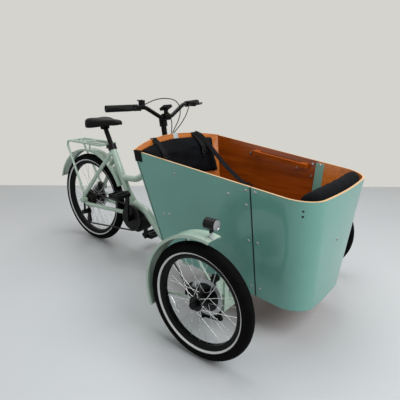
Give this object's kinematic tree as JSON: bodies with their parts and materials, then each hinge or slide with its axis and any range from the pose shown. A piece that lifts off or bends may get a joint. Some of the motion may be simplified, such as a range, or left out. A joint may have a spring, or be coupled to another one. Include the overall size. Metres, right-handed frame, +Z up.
{
  "type": "cargo tricycle",
  "caption": "Pedal cargo tricycle with an open plywood passenger box between two steered front wheels, a mid motor, a rear rack and a driven rear wheel.",
  "frame": {"origin": "on the ground, under the middle of the overall length and width", "axes": "+X forward in the riding direction, +Y to the rider's left, +Z up"},
  "size_m": [2.0758, 1.174, 1.0077],
  "materials": {
    "sage_metal": "gloss",
    "green_ply": "gloss",
    "varnished_ply": "satin",
    "handle_wood": "satin",
    "black_metal": "satin",
    "hub_metal": "satin",
    "spoke_steel": "polished",
    "chain_steel": "satin",
    "screw_steel": "polished",
    "bracket_grey": "satin",
    "tyre_rubber": "matte",
    "soft_rubber": "matte",
    "black_plastic": "matte",
    "lamp_plastic": "gloss",
    "tail_lens": "gloss",
    "saddle_cover": "matte",
    "black_fabric": "matte"
  },
  "bodies": {
    "frame": {"seat_tube": "sage_metal", "head_frame": "sage_metal", "down_tube": "sage_metal", "rear_stays": "sage_metal", "axle_beam": "sage_metal", "rack": "sage_metal", "rear_mudguard": "sage_metal", "rear_lights": "tail_lens", "drive_motor": "black_plastic", "seat_clamp": "black_metal", "rear_caliper": "black_metal", "derailleur": "black_metal", "chain": "chain_steel", "battery_pack": "black_plastic", "box_floor": "varnished_ply", "box_right_panel": "green_ply", "box_left_panel": "green_ply", "box_front_panel": "green_ply", "box_rear_panel": "green_ply", "seam_strips": "green_ply", "panel_screws": "screw_steel", "grab_handles": "handle_wood", "cable_bracket": "bracket_grey", "bench_cushions": "black_fabric", "front_roll_cushion": "black_fabric", "harness_straps": "black_fabric"},
    "steering": {"steering_column": "black_metal", "handlebar": "black_metal", "grips": "soft_rubber", "control_pods": "black_plastic", "brake_cables": "soft_rubber"},
    "right_knuckle_body": {"right_knuckle": "black_metal", "right_mudguard": "sage_metal", "right_headlight": "lamp_plastic"},
    "right_wheel": {"right_tyre": "tyre_rubber", "right_rim": "black_metal", "right_spokes": "spoke_steel", "right_hub": "hub_metal"},
    "right_rod_body": {"right_track_rod": "black_metal"},
    "right_lever_body": {"right_brake_lever": "black_metal"},
    "right_pedal_body": {"right_pedal": "black_plastic"},
    "left_knuckle_body": {"left_knuckle": "black_metal", "left_mudguard": "sage_metal", "left_headlight": "lamp_plastic"},
    "left_wheel": {"left_tyre": "tyre_rubber", "left_rim": "black_metal", "left_spokes": "spoke_steel", "left_hub": "hub_metal"},
    "left_rod_body": {"left_track_rod": "black_metal"},
    "left_lever_body": {"left_brake_lever": "black_metal"},
    "left_pedal_body": {"left_pedal": "black_plastic"},
    "rear_wheel": {"rear_tyre": "tyre_rubber", "rear_rim": "black_metal", "rear_spokes": "spoke_steel", "rear_hub": "hub_metal"},
    "crank_body": {"cranks": "black_metal"},
    "cassette_body": {"cassette": "chain_steel"},
    "seat": {"seat_post": "black_metal", "saddle": "saddle_cover"},
    "shift_body": {"shift_lever": "black_plastic"}
  },
  "joints": [
    {"name": "steer", "type": "hinge", "parent": "frame", "child": "steering", "pos_m": [-0.01715, 0, 0.806], "axis": [-0.1461, 0, 0.9893], "range_deg": [-30, 30], "deforming": ["brake_cables"]},
    {"name": "right_kingpin", "type": "hinge", "parent": "frame", "child": "right_knuckle_body", "pos_m": [0.66785, -0.423, 0.254], "axis": [-0.1461, 0, 0.9893], "range_deg": [-30, 30]},
    {"name": "right_rod_pivot", "type": "hinge", "parent": "steering", "child": "right_rod_body", "pos_m": [-0.01507, 0, 0.10739], "axis": [-0.1461, 0, 0.9893], "range_deg": [-30, 30]},
    {"name": "right_wheel_spin", "type": "hinge", "parent": "right_knuckle_body", "child": "right_wheel", "pos_m": [0.66785, -0.538, 0.254], "axis": [0, 1, 0], "continuous": true},
    {"name": "left_kingpin", "type": "hinge", "parent": "frame", "child": "left_knuckle_body", "pos_m": [0.66785, 0.423, 0.254], "axis": [-0.1461, 0, 0.9893], "range_deg": [-30, 30]},
    {"name": "left_rod_pivot", "type": "hinge", "parent": "steering", "child": "left_rod_body", "pos_m": [-0.01507, 0, 0.10739], "axis": [-0.1461, 0, 0.9893], "range_deg": [-30, 30]},
    {"name": "left_wheel_spin", "type": "hinge", "parent": "left_knuckle_body", "child": "left_wheel", "pos_m": [0.66785, 0.538, 0.254], "axis": [0, 1, 0], "continuous": true},
    {"name": "rear_wheel_spin", "type": "hinge", "parent": "frame", "child": "rear_wheel", "pos_m": [-0.70815, 0, 0.305], "axis": [0, 1, 0], "continuous": true},
    {"name": "crank_spin", "type": "hinge", "parent": "frame", "child": "crank_body", "pos_m": [-0.27815, 0, 0.26], "axis": [0, 1, 0], "continuous": true},
    {"name": "cassette_spin", "type": "hinge", "parent": "frame", "child": "cassette_body", "pos_m": [-0.70815, 0, 0.305], "axis": [0, 1, 0], "continuous": true},
    {"name": "right_pedal_spin", "type": "hinge", "parent": "crank_body", "child": "right_pedal_body", "pos_m": [-0.2642, -0.089, 0.43344], "axis": [0, 1, 0], "continuous": true},
    {"name": "left_pedal_spin", "type": "hinge", "parent": "crank_body", "child": "left_pedal_body", "pos_m": [-0.29211, 0.089, 0.08656], "axis": [0, 1, 0], "continuous": true},
    {"name": "seat_height", "type": "slide", "parent": "frame", "child": "seat", "axis": [-0.4368, 0, 0.8996], "range_m": [-0.06, 0.1]},
    {"name": "right_brake", "type": "hinge", "parent": "steering", "child": "right_lever_body", "pos_m": [0.01787, -0.21902, 0.961], "axis": [0, 0, -1], "range_deg": [0, 14], "stiffness_Nm_per_rad": 4},
    {"name": "left_brake", "type": "hinge", "parent": "steering", "child": "left_lever_body", "pos_m": [0.01787, 0.21902, 0.961], "axis": [0, 0, 1], "range_deg": [0, 14], "stiffness_Nm_per_rad": 4},
    {"name": "shift_thumb", "type": "hinge", "parent": "steering", "child": "shift_body", "pos_m": [-0.01569, -0.16875, 0.995], "axis": [0, 0, 1], "range_deg": [-20, 20], "stiffness_Nm_per_rad": 0.6}
  ],
  "couplings": [
    {"joint": "right_kingpin", "follows": "steer", "ratio": 1},
    {"joint": "right_rod_pivot", "follows": "steer", "ratio": -1},
    {"joint": "left_kingpin", "follows": "steer", "ratio": 1},
    {"joint": "left_rod_pivot", "follows": "steer", "ratio": -1},
    {"joint": "cassette_spin", "follows": "crank_spin", "ratio": 1.56}
  ]
}
